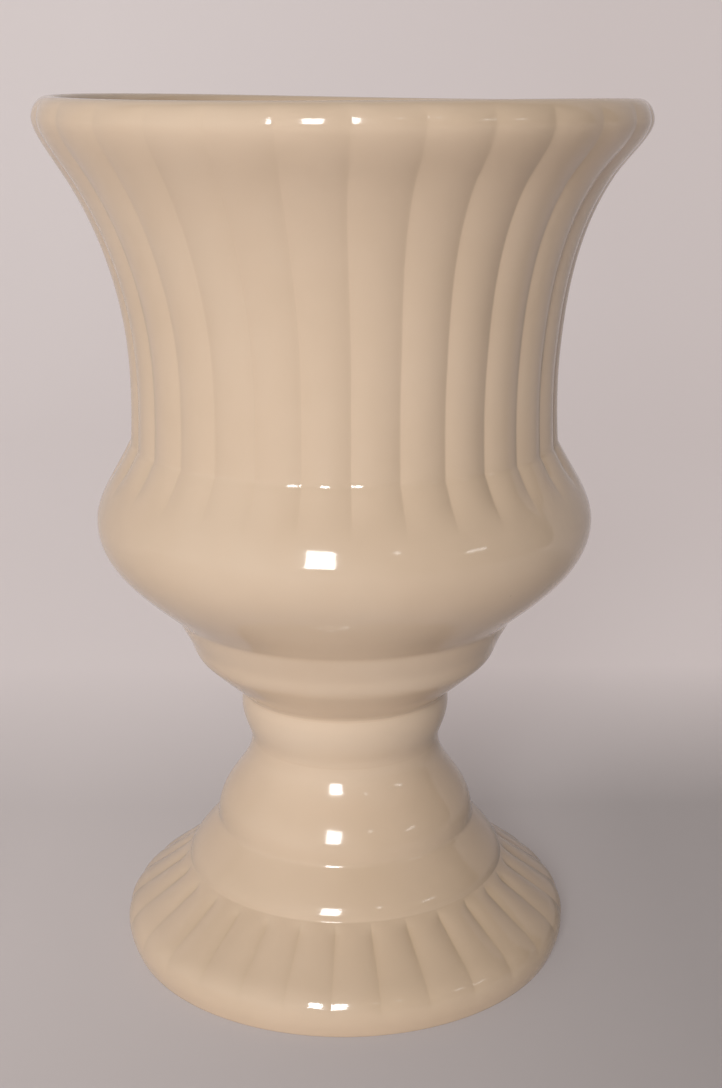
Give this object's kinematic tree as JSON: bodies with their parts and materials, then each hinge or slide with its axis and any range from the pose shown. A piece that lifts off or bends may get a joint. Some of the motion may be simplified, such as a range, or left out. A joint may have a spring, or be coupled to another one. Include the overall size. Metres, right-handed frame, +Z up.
{
  "type": "urn vase",
  "caption": "Footed urn vase of glazed earthenware with a flared lobed cup, round belly, stepped stem with a collar and a hollow lobed foot, for cut flowers or a potted arrangement.",
  "frame": {"origin": "centre of the foot's resting plane, on the vase's axis", "axes": "+Z up along the axis, -Y towards the viewer of the picture, +X to the viewer's right"},
  "size_m": [0.1608, 0.1608, 0.24],
  "materials": {
    "cream_glaze": "glossy cream-beige glaze over pale earthenware, slightly deeper in the valleys",
    "fired_slip": "fired luting slip under the same glaze"
  },
  "bodies": {
    "root": {"lobed_bowl": "cream_glaze", "stem_collar": "cream_glaze", "pedestal_foot": "cream_glaze", "upper_slip_joint": "fired_slip", "lower_slip_joint": "fired_slip"}
  },
  "joints": []
}
